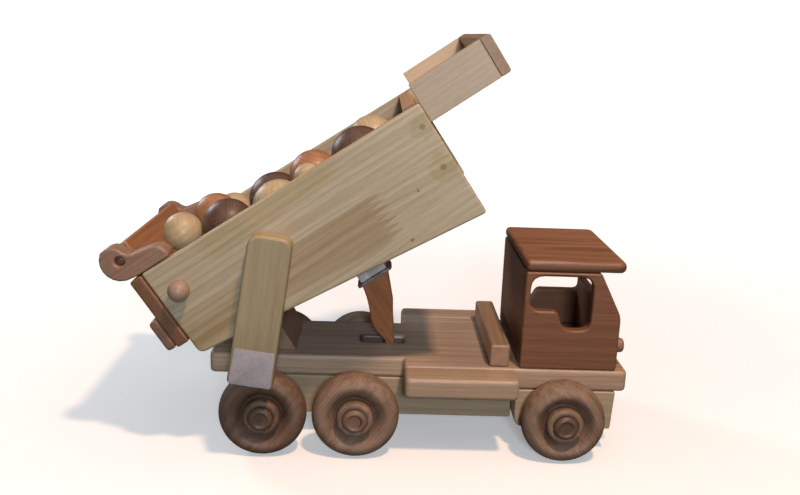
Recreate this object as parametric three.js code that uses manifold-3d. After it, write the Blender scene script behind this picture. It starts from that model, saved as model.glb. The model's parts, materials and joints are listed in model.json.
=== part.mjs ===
// A wooden toy dump truck with a tipping bed, a hung tailgate, six pegged wheels and a load of wooden balls.
// Millimetres, +X to the front, +Y to the left side, +Z up, the wheels standing on Z = 0.
// Run it with the npm packages three and manifold-3d.
import * as THREE from "three";
import { mergeVertices } from "three/addons/utils/BufferGeometryUtils.js";
import Module from "manifold-3d";

const wasm = await Module();
wasm.setup();

// ---- Driving dimensions ----
const GAP = 0.3; // between pieces that touch
const CURVE_STEPS = 4; // segments in a rounded corner
const WHEEL_STEPS = 28; // segments round a wheel
const DOWEL_STEPS = 16; // segments round a peg, pin or button
const BALL_STEPS = { round: 14, high: 8 };

const WHEEL_RADIUS = { rear: 43.5, middle: 43.5, front: 42 };
const WHEEL_WIDTH = 30;
const WHEEL_INNER_Y = 80.5; // the tyre's inner face
const HUB_PLAY = 0.6; // between a wheel's hub and its bearer
const AXLE_XS = { rear: 0, middle: 92, front: 300 };
const SHANK_RADIUS = 5;
const BORE_RADIUS = SHANK_RADIUS + GAP;
const BOSS_RADIUS = 17.5;
const CAP_RADIUS = 12.3;

const DECK_TOP = 89;
const DECK_THICKNESS = 22;
const DECK_REAR_X = -60;
const DECK_STEP_X = 140; // where the narrow rear part ends
const DECK_FRONT_X = 366;
const DECK_NARROW_Y = 55; // half width over the rear wheels
const DECK_WIDE_Y = 78; // half width ahead of them
const SLOT = { rear: 95, front: 141, halfWidth: 11 };

const RAIL_REAR_X = -30;
const RAIL_INNER_Y = 35;
const RAIL_BOTTOM = 25.5;
const FRONT_BLOCK = { rear: 253.7, front: 355.5 };
const STEP = { rear: 140, front: 252, outerY: 111, thickness: 21 };
const HEAD_BLOCK = { rear: 226, front: 246, halfWidth: 74, top: 112.3 };

const CAB = { rear: 256, front: 354, halfWidth: 77, wall: 12, eaves: 190.5, top: 202 };
const ROOF_FRONT = 356;
const DASH_TOP = 146;
const POST_TOP_X = 331; // the slanted front post meets the roof here
const LIGHT = { radius: 7.5, length: 9.7, y: 60, z: 111.2 };

const PIVOT_Z = 106; // the bed tips about this height, above the rear axle
const PIVOT_PIN_RADIUS = 6;
const BEAM = { halfLength: 28, topHalfLength: 13, halfWidth: 43, top: 114 };
const TILT = THREE.MathUtils.degToRad(34.5); // how far the bed stands raised

// The bed is drawn lowered: x along the truck and z up, both from its pivot.
const BED = { rear: -43.3, front: 257.3, topRear: 129, topFront: 123.4, bottomRear: 35.7, bottomFront: 5.6 };
const BED_OUTER_Y = 116;
const BED_WALL = 12;
const FLOOR_THICKNESS = 9;
const FRONT_BOARD = { rear: 240, front: 252 };
const ARM = { thickness: 20, low: -19, high: 127, rearSide: -23, footRearSide: -26, frontSide: 17, angle: 48 };

const VISOR = { front: 331, bottom: 103, top: 141.5, outerY: 114, wall: 10, floor: 9 };
const VISOR_END_THICKNESS = 10;

const HINGE = { x: -52.8, z: 149.5, radius: 4.3 }; // the tailgate's pins
const EAR = { innerY: 94, lobe: 19.3, front: -11 };
const GATE_PLAY = 0.7; // between the gate's neck and the ears
const GATE = { rear: -57.5, front: -44.5, bottom: 52, shoulder: 128.2, top: 162 };
const BATTEN = { rear: -67.5, bottom: 53.5, top: 86 };
const SIDE_PEG = { x: -20, z: 98.6, headRadius: 10 };

const PLATE = { rear: 99, front: 140.5, bottom: -16.3, top: -13.3, halfWidth: 15 };
const PROP_BLOCK = { rear: 104, front: 136, halfWidth: 11 };
const TUSK = {
  innerRadius: 104,
  topRadius: 135, // of its outer edge, under the plate
  halfWidth: 9,
  taperAngle: -30, // in degrees from the bed, as its outlines' angles are
};

// The balls' places in the bed: along it, across it, above its pivot, radius and wood.
const BALLS = [
  [2, -80, 138.5, 19, "maple"],
  [22.8, -25, 130.5, 23, "cherry"],
  [42.8, -78.5, 121, 24.8, "walnut"],
  [27.4, 25, 120.7, 20, "maple"],
  [82.4, -20, 111.2, 28, "walnut"],
  [93, -77.5, 109.2, 26, "maple"],
  [133, -45, 113.4, 24.8, "cherry"],
  [133, -87, 117.7, 14.5, "maple"],
  [184.5, -75, 108.2, 28, "walnut"],
  [197.7, -15, 110.6, 23.5, "maple"],
];

// ---- Woods ----
const WOODS = {
  pine: { color: 0xd9bd8b, roughness: 0.55 },
  deckPine: { color: 0xc9a678, roughness: 0.55 },
  beech: { color: 0xa9764f, roughness: 0.5 },
  cherry: { color: 0x9c5a2e, roughness: 0.45 },
  walnut: { color: 0x5a3626, roughness: 0.4 },
  maple: { color: 0xdcc08f, roughness: 0.45 },
  cabWood: { color: 0x7d4a2f, roughness: 0.5 },
  steel: { color: 0xb9bbbd, roughness: 0.3, metalness: 0.9 },
  nylon: { color: 0xd8d8d4, roughness: 0.35 },
};

const truck = new THREE.Group();
const bed = new THREE.Group();
bed.position.z = PIVOT_Z;
bed.rotation.y = -TILT;
truck.add(bed);

// Adds one named piece to a group.
function piece(group, name, geometry, wood) {
  const material = new THREE.MeshStandardMaterial({ metalness: 0, ...WOODS[wood] });
  const mesh = new THREE.Mesh(geometry, material);
  mesh.name = name;
  group.add(mesh);
  return mesh;
}

// ---- Shapes ----
// A closed outline through corners [x, y, radius]; the radius rounds that corner.
function outline(corners, path = new THREE.Shape()) {
  const count = corners.length;
  corners.forEach(([x, y, radius = 0], i) => {
    const corner = new THREE.Vector2(x, y);
    const before = new THREE.Vector2(...corners[(i + count - 1) % count].slice(0, 2));
    const after = new THREE.Vector2(...corners[(i + 1) % count].slice(0, 2));
    const start = corner.clone().add(before.sub(corner).setLength(radius));
    const end = corner.clone().add(after.sub(corner).setLength(radius));
    if (i === 0) path.moveTo(start.x, start.y);
    else path.lineTo(start.x, start.y);
    if (radius > 0) path.quadraticCurveTo(x, y, end.x, end.y);
  });
  path.closePath();
  return path;
}

function rectangle(x0, y0, x1, y1, radius = 0) {
  return outline([
    [x0, y0, radius],
    [x1, y0, radius],
    [x1, y1, radius],
    [x0, y1, radius],
  ]);
}

function extrude(shape, depth) {
  return new THREE.ExtrudeGeometry(shape, { depth, bevelEnabled: false, curveSegments: CURVE_STEPS });
}

// An outline in X and Y, raised from one height to another.
function flat(shape, low, high) {
  return extrude(shape, high - low).translate(0, 0, low);
}

// An outline in X and Z, running from one Y to another.
function upright(shape, low, high) {
  return extrude(shape, high - low)
    .rotateX(Math.PI / 2)
    .translate(0, high, 0);
}

// An outline in Y and Z, running from one X to another.
function across(shape, low, high) {
  return extrude(shape, high - low)
    .rotateX(Math.PI / 2)
    .rotateZ(Math.PI / 2)
    .translate(low, 0, 0);
}

// A turned piece: profile points [radius, y] about an axle that points outward along side * Y.
function turned(profile, side, steps = DOWEL_STEPS) {
  const points = profile.map(([radius, y]) => new THREE.Vector2(radius, y));
  const geometry = new THREE.LatheGeometry(points, steps);
  return side > 0 ? geometry : geometry.rotateZ(Math.PI);
}

// A round dowel along Y, used as a piece and as a cutting tool.
function dowel(radius, low, high, x = 0, z = 0) {
  const profile = [
    [0, low],
    [radius, low],
    [radius, high],
    [0, high],
  ];
  return turned(profile, 1).translate(x, 0, z);
}

// ---- Cutting ----
function solid(geometry) {
  const bare = geometry.clone();
  bare.deleteAttribute("normal");
  bare.deleteAttribute("uv");
  const merged = mergeVertices(bare, 1e-4);
  const triVerts = new Uint32Array(merged.index.array);
  const vertProperties = new Float32Array(merged.attributes.position.array);
  return new wasm.Manifold(new wasm.Mesh({ numProp: 3, vertProperties, triVerts }));
}

function cut(geometry, ...tools) {
  const result = tools.reduce((body, tool) => body.subtract(solid(tool)), solid(geometry)).getMesh();
  const made = new THREE.BufferGeometry();
  made.setAttribute("position", new THREE.BufferAttribute(result.vertProperties, 3));
  made.setIndex(new THREE.BufferAttribute(result.triVerts, 1));
  const faceted = made.toNonIndexed();
  faceted.computeVertexNormals();
  return faceted;
}

const SIDES = { right: -1, left: 1 };

// Mirrors a span of Y to the truck's other side.
function span(side, inner, outer) {
  return side > 0 ? [inner, outer] : [-outer, -inner];
}

// ---- Chassis ----
function addDeck() {
  const corner = 7;
  const shape = outline([
    [DECK_REAR_X, -DECK_NARROW_Y, corner],
    [DECK_STEP_X, -DECK_NARROW_Y],
    [DECK_STEP_X, -DECK_WIDE_Y],
    [DECK_FRONT_X, -DECK_WIDE_Y, corner],
    [DECK_FRONT_X, DECK_WIDE_Y, corner],
    [DECK_STEP_X, DECK_WIDE_Y],
    [DECK_STEP_X, DECK_NARROW_Y],
    [DECK_REAR_X, DECK_NARROW_Y, corner],
  ]);
  shape.holes.push(rectangle(SLOT.rear, -SLOT.halfWidth, SLOT.front, SLOT.halfWidth, 4));
  piece(truck, "deck_board", flat(shape, DECK_TOP - DECK_THICKNESS, DECK_TOP), "deckPine");
}

// The blind hole that holds an axle peg, on one side of a bearer.
function axleHole(axle, side, faceY, depth) {
  return dowel(
    BORE_RADIUS,
    ...span(side, faceY - depth, faceY + 1),
    AXLE_XS[axle],
    WHEEL_RADIUS[axle],
  );
}

const RAIL_PEG_DEPTH = 17;
const BLOCK_PEG_DEPTH = 32;

function addRails() {
  const top = DECK_TOP - DECK_THICKNESS - GAP;
  const shape = outline([
    [RAIL_REAR_X, RAIL_BOTTOM, 10],
    [FRONT_BLOCK.rear - GAP, RAIL_BOTTOM],
    [FRONT_BLOCK.rear - GAP, top],
    [RAIL_REAR_X, top, 4],
  ]);
  for (const [name, side] of Object.entries(SIDES)) {
    const holes = ["rear", "middle"].map((axle) =>
      axleHole(axle, side, DECK_NARROW_Y, RAIL_PEG_DEPTH),
    );
    const rail = upright(shape, ...span(side, RAIL_INNER_Y, DECK_NARROW_Y));
    piece(truck, `rail_${name}`, cut(rail, ...holes), "pine");
  }
}

function addFrontBlock() {
  const shape = outline([
    [FRONT_BLOCK.rear, RAIL_BOTTOM, 12],
    [FRONT_BLOCK.front - 2, RAIL_BOTTOM],
    [FRONT_BLOCK.front, DECK_TOP - DECK_THICKNESS - GAP],
    [FRONT_BLOCK.rear, DECK_TOP - DECK_THICKNESS - GAP],
  ]);
  const holes = Object.values(SIDES).map((side) =>
    axleHole("front", side, DECK_WIDE_Y, BLOCK_PEG_DEPTH),
  );
  const block = upright(shape, -DECK_WIDE_Y, DECK_WIDE_Y);
  piece(truck, "front_axle_block", cut(block, ...holes), "deckPine");
}

function addSteps() {
  for (const [name, side] of Object.entries(SIDES)) {
    const shape = outline([
      [STEP.rear, side * (DECK_WIDE_Y + GAP)],
      [STEP.rear, side * STEP.outerY, 6],
      [STEP.front, side * STEP.outerY, 6],
      [STEP.front, side * (DECK_WIDE_Y + GAP)],
    ]);
    piece(truck, `step_${name}`, flat(shape, DECK_TOP - STEP.thickness, DECK_TOP), "pine");
  }
}

function addHeadBlock() {
  const low = DECK_TOP + GAP;
  const shape = outline([
    [HEAD_BLOCK.rear, low],
    [HEAD_BLOCK.front, low],
    [HEAD_BLOCK.front, HEAD_BLOCK.top, 3],
    [HEAD_BLOCK.rear, HEAD_BLOCK.top, 3],
  ]);
  piece(truck, "head_block", upright(shape, -HEAD_BLOCK.halfWidth, HEAD_BLOCK.halfWidth), "pine");
}

const PIN_IN_BEAM = 30;
const PIN_IN_ARM = 13;

function addPivotBeam() {
  const low = DECK_TOP + GAP;
  const shape = outline([
    [-BEAM.halfLength, low],
    [BEAM.halfLength, low],
    [BEAM.topHalfLength, BEAM.top, 3],
    [-BEAM.topHalfLength, BEAM.top, 3],
  ]);
  const sockets = Object.values(SIDES).map((side) =>
    dowel(
      PIVOT_PIN_RADIUS + GAP,
      ...span(side, BEAM.halfWidth - PIN_IN_BEAM, BEAM.halfWidth + 1),
      0,
      PIVOT_Z,
    ),
  );
  const beam = upright(shape, -BEAM.halfWidth, BEAM.halfWidth);
  piece(truck, "pivot_beam", cut(beam, ...sockets), "beech");
  for (const [name, side] of Object.entries(SIDES)) {
    const pinSpan = span(
      side,
      BEAM.halfWidth - PIN_IN_BEAM + GAP,
      BED_OUTER_Y + GAP + PIN_IN_ARM,
    );
    piece(truck, `pivot_pin_${name}`, dowel(PIVOT_PIN_RADIUS, ...pinSpan, 0, PIVOT_Z), "maple");
  }
}

// ---- Wheels ----
// The wheel's section from its inner hub to the button boss, about an axle that points outward.
function wheelProfile(hubY, radius) {
  const inner = WHEEL_INNER_Y;
  const outer = WHEEL_INNER_Y + WHEEL_WIDTH;
  const bossFace = outer + 1;
  return [
    [BORE_RADIUS, hubY],
    [13, hubY],
    [14, inner],
    [36, inner],
    [radius - 1.5, inner + 6],
    [radius, inner + 14],
    [radius - 1, inner + 22],
    [radius - 5, inner + 28],
    [31, outer],
    [25, outer - 4.5],
    [BOSS_RADIUS, outer - 10],
    [BOSS_RADIUS, bossFace - 2.5],
    [BOSS_RADIUS - 2.5, bossFace],
    [CAP_RADIUS + 0.4, bossFace],
    [CAP_RADIUS + 0.4, bossFace - 3],
    [BORE_RADIUS, bossFace - 3],
    [BORE_RADIUS, hubY],
  ];
}

// An axle peg: its shank in the bearer, its round cap in the boss, a shallow dimple in the cap.
function pegProfile(endY) {
  const seat = WHEEL_INNER_Y + WHEEL_WIDTH - 2 + GAP;
  return [
    [0, endY],
    [SHANK_RADIUS, endY],
    [SHANK_RADIUS, seat],
    [CAP_RADIUS - 0.3, seat],
    [CAP_RADIUS - 0.3, seat + 4.5],
    [CAP_RADIUS - 3.5, seat + 7],
    [6.5, seat + 6],
    [0, seat + 5.5],
  ];
}

function addWheels() {
  for (const [axle, x] of Object.entries(AXLE_XS)) {
    const bearerY = axle === "front" ? DECK_WIDE_Y : DECK_NARROW_Y;
    const depth = axle === "front" ? BLOCK_PEG_DEPTH : RAIL_PEG_DEPTH;
    const radius = WHEEL_RADIUS[axle];
    for (const [name, side] of Object.entries(SIDES)) {
      const wheel = turned(wheelProfile(bearerY + HUB_PLAY, radius), side, WHEEL_STEPS);
      const peg = turned(pegProfile(bearerY - depth + GAP), side);
      piece(truck, `wheel_${axle}_${name}`, wheel.translate(x, 0, radius), "beech");
      piece(truck, `axle_peg_${axle}_${name}`, peg.translate(x, 0, radius), "beech");
    }
  }
}

// ---- Cab ----
// The side window: a wide upper light with its sill stepped down at the front.
// The right window drops at its front. The left one drops at its rear, and runs on to a slanted front post.
function cabWindow(side) {
  if (side > 0) {
    return outline([
      [262, 117, 8],
      [288.5, 117, 6],
      [296, 131.5, 5],
      [344, 131.5, 6],
      [344, 146, 2],
      [323.5, 186, 9],
      [262, 186, 13],
    ]);
  }
  return outline([
    [262, 150.5, 11],
    [290, 150.5, 4],
    [296.5, 131, 9],
    [324, 131, 11],
    [324, 186, 13],
    [262, 186, 13],
  ]);
}

function addCabSides() {
  const low = DECK_TOP + GAP;
  for (const [name, side] of Object.entries(SIDES)) {
    const shape = outline([
      [CAB.rear, low],
      [CAB.front, low],
      [CAB.front, DASH_TOP, 6],
      [POST_TOP_X, CAB.eaves],
      [CAB.rear, CAB.eaves],
    ]);
    shape.holes.push(cabWindow(side));
    const wall = upright(shape, ...span(side, CAB.halfWidth - CAB.wall, CAB.halfWidth));
    piece(truck, `cab_side_${name}`, wall, "cabWood");
  }
}

function addCabBody() {
  const low = DECK_TOP + GAP;
  const inside = CAB.halfWidth - CAB.wall - GAP;
  const back = upright(rectangle(CAB.rear, low, CAB.rear + 6, CAB.eaves), -inside, inside);
  piece(truck, "cab_back", back, "cabWood");

  const dashShape = outline([
    [CAB.front - CAB.wall, low],
    [CAB.front, low],
    [CAB.front, DASH_TOP, 5],
    [CAB.front - CAB.wall, DASH_TOP, 2],
  ]);
  const sockets = Object.values(SIDES).map((side) => lightDowel(side, 3 + GAP, GAP));
  piece(truck, "cab_front", cut(upright(dashShape, -inside, inside), ...sockets), "cabWood");

  const roofShape = outline([
    [CAB.rear, -CAB.halfWidth],
    [ROOF_FRONT, -CAB.halfWidth, 9],
    [ROOF_FRONT, CAB.halfWidth, 9],
    [CAB.rear, CAB.halfWidth],
  ]);
  piece(truck, "cab_roof", flat(roofShape, CAB.eaves + GAP, CAB.top), "cabWood");
}

// A headlight's stub, let into the front board, or the socket it sits in.
function lightDowel(side, depth, clearance) {
  const stub = [
    [0, -depth],
    [4 + clearance, -depth],
    [4 + clearance, 1],
    [0, 1],
  ];
  return turned(stub, 1)
    .rotateZ(-Math.PI / 2)
    .translate(CAB.front, side * LIGHT.y, LIGHT.z);
}

function addHeadlights() {
  const profile = [
    [0, -3],
    [4, -3],
    [4, GAP],
    [LIGHT.radius, GAP],
    [LIGHT.radius, LIGHT.length - 3],
    [LIGHT.radius - 1.5, LIGHT.length - 0.8],
    [LIGHT.radius - 4, LIGHT.length],
    [0, LIGHT.length],
  ];
  for (const [name, side] of Object.entries(SIDES)) {
    const button = turned(profile, 1)
      .rotateZ(-Math.PI / 2)
      .translate(CAB.front, side * LIGHT.y, LIGHT.z);
    piece(truck, `headlight_${name}`, button, "beech");
  }
}

// ---- Bed ----
// The height of the bed's sloping underside at a place along it.
function bottomAt(x) {
  const along = (x - BED.rear) / (BED.front - BED.rear);
  return THREE.MathUtils.lerp(BED.bottomRear, BED.bottomFront, along);
}

function topAt(x) {
  const along = (x - BED.rear) / (BED.front - BED.rear);
  return THREE.MathUtils.lerp(BED.topRear, BED.topFront, along);
}

// The hole in a bed side for the ball-headed peg.
function sidePegHole(side) {
  const clearance = SHANK_RADIUS + GAP;
  return dowel(clearance, ...span(side, BED_OUTER_Y - BED_WALL - 1, BED_OUTER_Y + 1), SIDE_PEG.x, SIDE_PEG.z);
}

function addBedBox() {
  const inner = BED_OUTER_Y - BED_WALL;
  const sideShape = outline([
    [BED.rear, BED.bottomRear, 7],
    [BED.front, BED.bottomFront, 4],
    [BED.front, BED.topFront],
    [BED.rear, BED.topRear],
  ]);
  for (const [name, side] of Object.entries(SIDES)) {
    const wall = upright(sideShape, ...span(side, inner, BED_OUTER_Y));
    piece(bed, `bed_side_${name}`, cut(wall, sidePegHole(side)), "pine");
  }
  const floorEnd = FRONT_BOARD.rear - GAP;
  const floorShape = outline([
    [BED.rear, bottomAt(BED.rear)],
    [floorEnd, bottomAt(floorEnd)],
    [floorEnd, bottomAt(floorEnd) + FLOOR_THICKNESS],
    [BED.rear, bottomAt(BED.rear) + FLOOR_THICKNESS],
  ]);
  piece(bed, "bed_floor", upright(floorShape, -inner + GAP, inner - GAP), "pine");
  const frontShape = outline([
    [FRONT_BOARD.rear, bottomAt(FRONT_BOARD.rear)],
    [FRONT_BOARD.front, bottomAt(FRONT_BOARD.front)],
    [FRONT_BOARD.front, topAt(FRONT_BOARD.front)],
    [FRONT_BOARD.rear, topAt(FRONT_BOARD.rear)],
  ]);
  piece(bed, "bed_front", upright(frontShape, -inner + GAP, inner - GAP), "pine");
}

function addVisor() {
  const rear = BED.front + GAP;
  const inner = VISOR.outerY - VISOR.wall;
  const sideShape = rectangle(rear, VISOR.bottom, VISOR.front, VISOR.top);
  for (const [name, side] of Object.entries(SIDES)) {
    const wall = upright(sideShape, ...span(side, inner, VISOR.outerY));
    piece(bed, `visor_side_${name}`, wall, "pine");
  }
  const floorInner = BED_OUTER_Y - BED_WALL - GAP;
  const floorShape = rectangle(
    FRONT_BOARD.front + GAP,
    VISOR.bottom,
    VISOR.front,
    VISOR.bottom + VISOR.floor,
  );
  piece(bed, "visor_floor", upright(floorShape, -floorInner, floorInner), "pine");
  const endRear = VISOR.front + GAP;
  const endShape = outline([
    [endRear, VISOR.bottom],
    [endRear + VISOR_END_THICKNESS, VISOR.bottom, 3],
    [endRear + VISOR_END_THICKNESS, VISOR.top, 3],
    [endRear, VISOR.top],
  ]);
  piece(bed, "visor_end", upright(endShape, -VISOR.outerY, VISOR.outerY), "pine");
}

// ---- Arms ----
// An arm on the bed's outside, from the pivot up to the bed side that it carries.
function addArms() {
  const shape = outline([
    [ARM.low, -ARM.frontSide, 4],
    [ARM.high, -ARM.frontSide, 11],
    [ARM.high, -ARM.rearSide, 13],
    [ARM.low, -ARM.footRearSide, 4],
  ]);
  for (const [name, side] of Object.entries(SIDES)) {
    const [low, high] = span(side, BED_OUTER_Y + GAP, BED_OUTER_Y + GAP + ARM.thickness);
    const arm = upright(shape, low, high).rotateY(-THREE.MathUtils.degToRad(ARM.angle));
    const socketDepth = BED_OUTER_Y + 2 * GAP + PIN_IN_ARM;
    const socket = dowel(PIVOT_PIN_RADIUS + GAP, ...span(side, BED_OUTER_Y - 1, socketDepth));
    piece(bed, `arm_${name}`, cut(arm, socket), "pine");
  }
}

// ---- Tailgate ----
// A shaped ear: a round lobe about the hinge pin, a notch, and a low hump that runs along the bed side.
function addEars() {
  const low = BED.topRear + GAP;
  const shape = new THREE.Shape();
  shape.moveTo(EAR.front, low);
  shape.lineTo(EAR.front + 1, low + 5);
  shape.quadraticCurveTo(EAR.front - 1, low + 15, EAR.front - 11, low + 16.5);
  shape.lineTo(HINGE.x + 13, HINGE.z - 0.5);
  shape.quadraticCurveTo(HINGE.x + 8.5, HINGE.z + 2, HINGE.x + 6.5, HINGE.z + 9);
  shape.quadraticCurveTo(HINGE.x + 2, HINGE.z + 16.5, HINGE.x - 5, HINGE.z + 16.5);
  const topAngle = THREE.MathUtils.degToRad(125);
  const bottomAngle = THREE.MathUtils.degToRad(270);
  shape.absarc(HINGE.x, HINGE.z, EAR.lobe, topAngle, bottomAngle, false);
  shape.lineTo(HINGE.x + 7, low);
  shape.closePath();
  for (const [name, side] of Object.entries(SIDES)) {
    const ear = upright(shape, ...span(side, EAR.innerY, BED_OUTER_Y));
    const hole = dowel(
      HINGE.radius + GAP,
      ...span(side, EAR.innerY - 1, BED_OUTER_Y + 1),
      HINGE.x,
      HINGE.z,
    );
    piece(bed, `ear_${name}`, cut(ear, hole), "cherry");
  }
}

const PIN_IN_GATE = 25;

function addTailgate() {
  const neck = EAR.innerY - GATE_PLAY;
  const shape = outline([
    [-BED_OUTER_Y, GATE.bottom, 3],
    [BED_OUTER_Y, GATE.bottom, 3],
    [BED_OUTER_Y, GATE.shoulder],
    [neck, GATE.shoulder],
    [neck, GATE.top, 3],
    [-neck, GATE.top, 3],
    [-neck, GATE.shoulder],
    [-BED_OUTER_Y, GATE.shoulder],
  ]);
  const sockets = Object.values(SIDES).map((side) =>
    dowel(HINGE.radius + GAP, ...span(side, neck - PIN_IN_GATE, neck + 1), HINGE.x, HINGE.z),
  );
  const board = across(shape, GATE.rear, GATE.front);
  piece(bed, "tailgate_board", cut(board, ...sockets), "cherry");

  const battenShape = rectangle(BATTEN.rear, BATTEN.bottom, GATE.rear - GAP, BATTEN.top, 4);
  piece(bed, "tailgate_batten", upright(battenShape, -BED_OUTER_Y, BED_OUTER_Y), "cherry");

  for (const [name, side] of Object.entries(SIDES)) {
    const pinSpan = span(side, neck - PIN_IN_GATE + GAP, BED_OUTER_Y - 3);
    const pin = dowel(HINGE.radius, ...pinSpan, HINGE.x, HINGE.z);
    piece(bed, `tailgate_pin_${name}`, pin, "beech");
  }
}

function addSidePegs() {
  const headY = BED_OUTER_Y + SIDE_PEG.headRadius - 1.5;
  const startAngle = Math.asin(SHANK_RADIUS / SIDE_PEG.headRadius);
  const steps = 7;
  const profile = [
    [0, BED_OUTER_Y - BED_WALL - 4],
    [SHANK_RADIUS, BED_OUTER_Y - BED_WALL - 4],
  ];
  for (let i = 0; i <= steps; i += 1) {
    const angle = THREE.MathUtils.lerp(startAngle, Math.PI, i / steps);
    const radius = i === steps ? 0 : SIDE_PEG.headRadius * Math.sin(angle);
    profile.push([radius, headY + 0.5 - SIDE_PEG.headRadius * Math.cos(angle)]);
  }
  for (const [name, side] of Object.entries(SIDES)) {
    const peg = turned(profile, side).translate(SIDE_PEG.x, 0, SIDE_PEG.z);
    piece(bed, `side_peg_${name}`, peg, "beech");
  }
}

// ---- Prop under the bed ----
// The curved prop is nearly a part of a ring about the pivot, so it slides through the deck's slot.
// Its outer edge is a little hollow, and it tapers to a blunt tip.
function tuskShape() {
  const top = PLATE.bottom - GAP;
  // Both edges from the plate down, as distances from the pivot and angles.
  const edge = [
    [130.6, -22],
    [128.6, -29],
    [129.6, -36],
    [132, -43],
    [131, -49],
    [126, -49],
    [120.6, -42],
    [111.4, -38],
    [106.4, -34],
    [TUSK.innerRadius, TUSK.taperAngle],
  ];
  const shape = new THREE.Shape();
  shape.moveTo(TUSK.topRadius, top);
  for (const [radius, degrees] of edge) {
    const angle = THREE.MathUtils.degToRad(degrees);
    shape.lineTo(radius * Math.cos(angle), radius * Math.sin(angle));
  }
  const taper = THREE.MathUtils.degToRad(TUSK.taperAngle);
  const innerStart = Math.asin(top / TUSK.innerRadius);
  shape.absarc(0, 0, TUSK.innerRadius, taper, innerStart, false);
  shape.closePath();
  return shape;
}

function addProp() {
  const blockShape = outline([
    [PROP_BLOCK.rear, PLATE.top + GAP],
    [PROP_BLOCK.front, PLATE.top + GAP],
    [PROP_BLOCK.front, bottomAt(PROP_BLOCK.front) - GAP],
    [PROP_BLOCK.rear, bottomAt(PROP_BLOCK.rear) - GAP],
  ]);
  const block = upright(blockShape, -PROP_BLOCK.halfWidth, PROP_BLOCK.halfWidth);
  piece(bed, "prop_block", block, "nylon");
  const plateShape = rectangle(PLATE.rear, -PLATE.halfWidth, PLATE.front, PLATE.halfWidth, 5);
  piece(bed, "prop_plate", flat(plateShape, PLATE.bottom, PLATE.top), "steel");
  piece(bed, "prop_tusk", upright(tuskShape(), -TUSK.halfWidth, TUSK.halfWidth), "cherry");
}

// ---- Load ----
function addBalls() {
  BALLS.forEach(([x, y, z, radius, wood], i) => {
    const ball = new THREE.SphereGeometry(radius, BALL_STEPS.round, BALL_STEPS.high).translate(x, y, z);
    piece(bed, `ball_${i + 1}_${wood}`, ball, wood);
  });
}

addDeck();
addRails();
addFrontBlock();
addSteps();
addHeadBlock();
addPivotBeam();
addWheels();
addCabSides();
addCabBody();
addHeadlights();
addBedBox();
addVisor();
addArms();
addEars();
addTailgate();
addSidePegs();
addProp();
addBalls();

// The part's origin is on the ground, under the middle of its length and width.
const box = new THREE.Box3().setFromObject(truck, true);
truck.position.set(-(box.min.x + box.max.x) / 2, -(box.min.y + box.max.y) / 2, 0);

export default truck;
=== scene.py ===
# A wooden toy dump truck with its bed tipped up, finished and lit for a studio picture.
# The scene is in metres. Sizes written here are in millimetres, from the rear axle, as the part's are.
import json
import math
import random

import bmesh
import bpy
import numpy as np
from mathutils import Euler, Matrix, Vector

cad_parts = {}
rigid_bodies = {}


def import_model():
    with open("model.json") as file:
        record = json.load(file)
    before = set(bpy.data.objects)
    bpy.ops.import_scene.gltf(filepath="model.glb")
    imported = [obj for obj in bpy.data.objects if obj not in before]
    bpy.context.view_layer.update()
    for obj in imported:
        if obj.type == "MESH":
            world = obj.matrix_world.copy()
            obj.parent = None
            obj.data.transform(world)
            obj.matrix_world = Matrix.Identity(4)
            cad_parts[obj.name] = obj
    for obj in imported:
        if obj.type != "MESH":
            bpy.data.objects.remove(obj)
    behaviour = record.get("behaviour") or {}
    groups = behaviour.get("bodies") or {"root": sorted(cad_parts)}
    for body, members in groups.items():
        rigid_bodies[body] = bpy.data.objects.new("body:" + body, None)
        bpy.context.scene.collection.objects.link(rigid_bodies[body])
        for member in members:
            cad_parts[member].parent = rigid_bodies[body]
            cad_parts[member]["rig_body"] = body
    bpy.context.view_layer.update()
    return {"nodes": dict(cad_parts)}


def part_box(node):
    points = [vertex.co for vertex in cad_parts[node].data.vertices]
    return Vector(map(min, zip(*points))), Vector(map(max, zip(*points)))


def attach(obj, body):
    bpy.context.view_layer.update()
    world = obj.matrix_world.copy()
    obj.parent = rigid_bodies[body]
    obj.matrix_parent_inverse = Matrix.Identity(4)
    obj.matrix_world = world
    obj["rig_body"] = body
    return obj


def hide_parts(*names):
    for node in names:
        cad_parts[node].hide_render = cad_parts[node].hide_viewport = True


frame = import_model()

NODES = frame["nodes"]
MM = 0.001
TO_MM = (1000, 1000, 1000)  # from metres

TILT = math.radians(34.5)  # how far the bed is tipped
PIVOT_Z = 106
ARM_LEAN = math.radians(48) + TILT
SIDES = {"right": -1, "left": 1}


# ---- Places ----
def box_middle(node):
    low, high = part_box(node)
    return (low + high) / 2


REAR_AXLE_X = box_middle("wheel_rear_right").x


def place(x, y, z):
    """A point of the truck, given in millimetres from the rear axle, the middle and the floor."""
    return Vector((REAR_AXLE_X + x * MM, y * MM, z * MM))


# From the bed's own axes, along it, across it and up from its pivot, to the scene.
BED_AXES = Matrix.Translation(place(0, 0, PIVOT_Z)) @ Matrix.Rotation(-TILT, 4, "Y")


def in_bed(along, across, up):
    return BED_AXES @ Vector((along * MM, across * MM, up * MM))


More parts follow.
